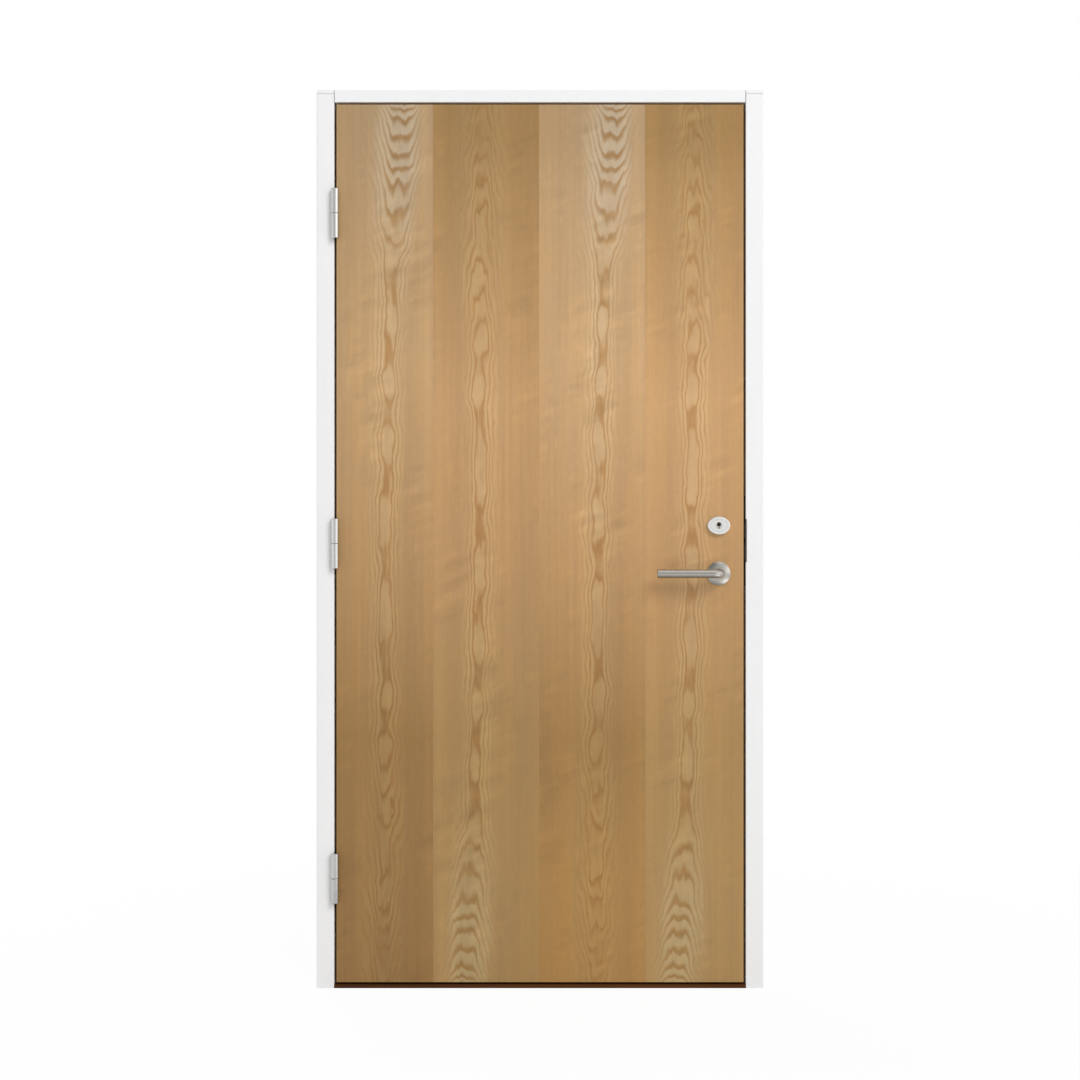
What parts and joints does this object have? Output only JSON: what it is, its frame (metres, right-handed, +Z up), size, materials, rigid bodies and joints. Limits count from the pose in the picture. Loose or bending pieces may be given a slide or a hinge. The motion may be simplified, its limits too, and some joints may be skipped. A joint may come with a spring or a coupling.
{
  "type": "acoustic door set",
  "caption": "Flush veneered sound-insulating door leaf in a white timber frame with hardwood threshold, lift-off hinges, lever handles and key cylinder.",
  "frame": {"origin": "middle of the threshold's underside, halfway between the jambs and halfway through the frame's depth", "axes": "+X towards the lock side, -Y towards the front (pull side), which the hinge barrels stand on, +Z up"},
  "size_m": [0.99, 0.173, 1.99],
  "materials": {
    "painted_timber": "white paint on timber, semi-matt",
    "dark_hardwood": "oiled dark hardwood",
    "veneer": "clear-lacquered light hardwood veneer in four leaves",
    "edge_timber": "clear-lacquered light hardwood edge strip",
    "core_board": "raw sound-insulating board, sealed inside the leaf",
    "satin_steel": "satin-brushed steel",
    "seal_rubber": "matt black rubber bulb seal"
  },
  "bodies": {
    "frame": {"hinge_jamb": "painted_timber", "lock_jamb": "painted_timber", "head": "painted_timber", "hinge_jamb_stop": "painted_timber", "lock_jamb_stop": "painted_timber", "head_stop": "painted_timber", "threshold": "dark_hardwood", "hinge_jamb_seal": "seal_rubber", "lock_jamb_seal": "seal_rubber", "head_seal": "seal_rubber", "threshold_seal": "seal_rubber", "strike_plate": "satin_steel", "hinge_frame_half_bottom": "satin_steel", "hinge_pin_bottom": "satin_steel", "hinge_frame_half_middle": "satin_steel", "hinge_pin_middle": "satin_steel", "hinge_frame_half_top": "satin_steel", "hinge_pin_top": "satin_steel"},
    "leaf": {"leaf_front_skin": "veneer", "leaf_back_skin": "veneer", "hinge_stile": "edge_timber", "lock_stile": "edge_timber", "top_rail": "edge_timber", "bottom_rail": "edge_timber", "acoustic_core": "core_board", "lock_forend": "satin_steel", "lock_case": "satin_steel", "latch_bolt": "satin_steel", "dead_bolt": "satin_steel", "hinge_leaf_half_bottom": "satin_steel", "hinge_leaf_half_middle": "satin_steel", "hinge_leaf_half_top": "satin_steel", "front_rose": "satin_steel", "front_cylinder_ring": "satin_steel", "front_key_cylinder": "satin_steel", "back_rose": "satin_steel", "back_cylinder_ring": "satin_steel", "back_key_cylinder": "satin_steel"},
    "lever": {"front_lever": "satin_steel", "spindle": "satin_steel", "back_lever": "satin_steel"},
    "front_plug": {"front_key_plug": "satin_steel"},
    "back_plug": {"back_key_plug": "satin_steel"}
  },
  "joints": [
    {"name": "door_swing", "type": "hinge", "parent": "frame", "child": "leaf", "pos_m": [-0.4535, -0.056, 0.982], "axis": [0, 0, -1], "range_deg": [0, 175]},
    {"name": "lever_turn", "type": "hinge", "parent": "leaf", "child": "lever", "pos_m": [0.3955, -0.021, 0.919], "axis": [0, -1, 0], "range_deg": [0, 45], "stiffness_Nm_per_rad": 1, "springref_deg": -57.3},
    {"name": "front_key_turn", "type": "hinge", "parent": "leaf", "child": "front_plug", "pos_m": [0.3955, -0.046, 1.025], "axis": [0, -1, 0], "range_deg": [-90, 90]},
    {"name": "back_key_turn", "type": "hinge", "parent": "leaf", "child": "back_plug", "pos_m": [0.3955, 0.004, 1.025], "axis": [0, 1, 0], "range_deg": [-90, 90]}
  ]
}
